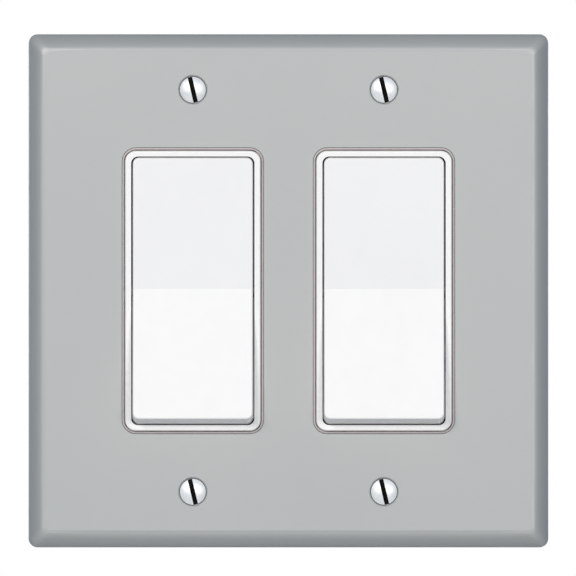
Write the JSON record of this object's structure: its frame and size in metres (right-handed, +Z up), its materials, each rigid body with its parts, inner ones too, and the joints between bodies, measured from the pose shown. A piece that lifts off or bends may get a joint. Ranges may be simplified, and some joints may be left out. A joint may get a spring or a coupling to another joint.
{
  "type": "rocker wall switch",
  "caption": "Wide wall plate with paired rocker paddles in white bezels; each paddle tilts and works a sprung see-saw contact in a housing behind the wall.",
  "frame": {"origin": "centre of the cover plate's back, on the wall's surface", "axes": "+X right, +Y into the wall (the switch faces -Y), +Z up"},
  "size_m": [0.1254, 0.036, 0.1238],
  "materials": {
    "plate_grey": "satin",
    "bezel_white": "gloss",
    "rocker_white": "gloss",
    "body_plastic": "satin",
    "nylon": "satin",
    "zinc_steel": "satin",
    "spring_steel": "satin",
    "rivet_steel": "satin",
    "box_screw_steel": "satin",
    "cover_screw_metal": "polished",
    "silver": "satin",
    "contact_brass": "satin",
    "terminal_brass": "satin",
    "screw_brass": "satin",
    "ground_green": "satin",
    "fibre": "matte"
  },
  "bodies": {
    "frame": {"wall_plate": "plate_grey", "plate_screws": "cover_screw_metal", "bezel_frame_left": "bezel_white", "mounting_strap_left": "zinc_steel", "rear_body_left": "body_plastic", "fixed_contact_left": "silver", "line_terminal_left": "terminal_brass", "load_terminal_left": "terminal_brass", "terminal_clamps_left": "zinc_steel", "terminal_screws_left": "screw_brass", "ground_screw_left": "ground_green", "rivets_left": "rivet_steel", "box_screws_left": "box_screw_steel", "screw_retainers_left": "fibre", "bezel_frame_right": "bezel_white", "mounting_strap_right": "zinc_steel", "rear_body_right": "body_plastic", "fixed_contact_right": "silver", "line_terminal_right": "terminal_brass", "load_terminal_right": "terminal_brass", "terminal_clamps_right": "zinc_steel", "terminal_screws_right": "screw_brass", "ground_screw_right": "ground_green", "rivets_right": "rivet_steel", "box_screws_right": "box_screw_steel", "screw_retainers_right": "fibre"},
    "rocker_left": {"rocker_left": "rocker_white", "toggle_spring_left": "spring_steel"},
    "plunger_left": {"plunger_left": "nylon"},
    "contact_arm_left": {"contact_arm_left": "contact_brass", "moving_contact_left": "silver"},
    "rocker_right": {"rocker_right": "rocker_white", "toggle_spring_right": "spring_steel"},
    "plunger_right": {"plunger_right": "nylon"},
    "contact_arm_right": {"contact_arm_right": "contact_brass", "moving_contact_right": "silver"}
  },
  "joints": [
    {"name": "rocker_tilt_left", "type": "hinge", "parent": "frame", "child": "rocker_left", "pos_m": [-0.02302, -0.0009, 0], "axis": [1, 0, 0], "range_deg": [0, 8]},
    {"name": "plunger_slide_left", "type": "slide", "parent": "rocker_left", "child": "plunger_left", "axis": [0, -0.9976, 0.0698], "range_m": [0, 0.0008], "stiffness_N_per_m": 150, "springref_m": -0.004, "deforming": ["toggle_spring_left"]},
    {"name": "contact_arm_tilt_left", "type": "hinge", "parent": "frame", "child": "contact_arm_left", "pos_m": [-0.02302, 0.0136, 0], "axis": [1, 0, 0], "range_deg": [-10, 0]},
    {"name": "rocker_tilt_right", "type": "hinge", "parent": "frame", "child": "rocker_right", "pos_m": [0.02302, -0.0009, 0], "axis": [1, 0, 0], "range_deg": [0, 8]},
    {"name": "plunger_slide_right", "type": "slide", "parent": "rocker_right", "child": "plunger_right", "axis": [0, -0.9976, 0.0698], "range_m": [0, 0.0008], "stiffness_N_per_m": 150, "springref_m": -0.004, "deforming": ["toggle_spring_right"]},
    {"name": "contact_arm_tilt_right", "type": "hinge", "parent": "frame", "child": "contact_arm_right", "pos_m": [0.02302, 0.0136, 0], "axis": [1, 0, 0], "range_deg": [-10, 0]}
  ],
  "couplings": [
    {"joint": "contact_arm_tilt_left", "follows": "rocker_tilt_left", "ratio": -1.25},
    {"joint": "contact_arm_tilt_right", "follows": "rocker_tilt_right", "ratio": -1.25}
  ]
}
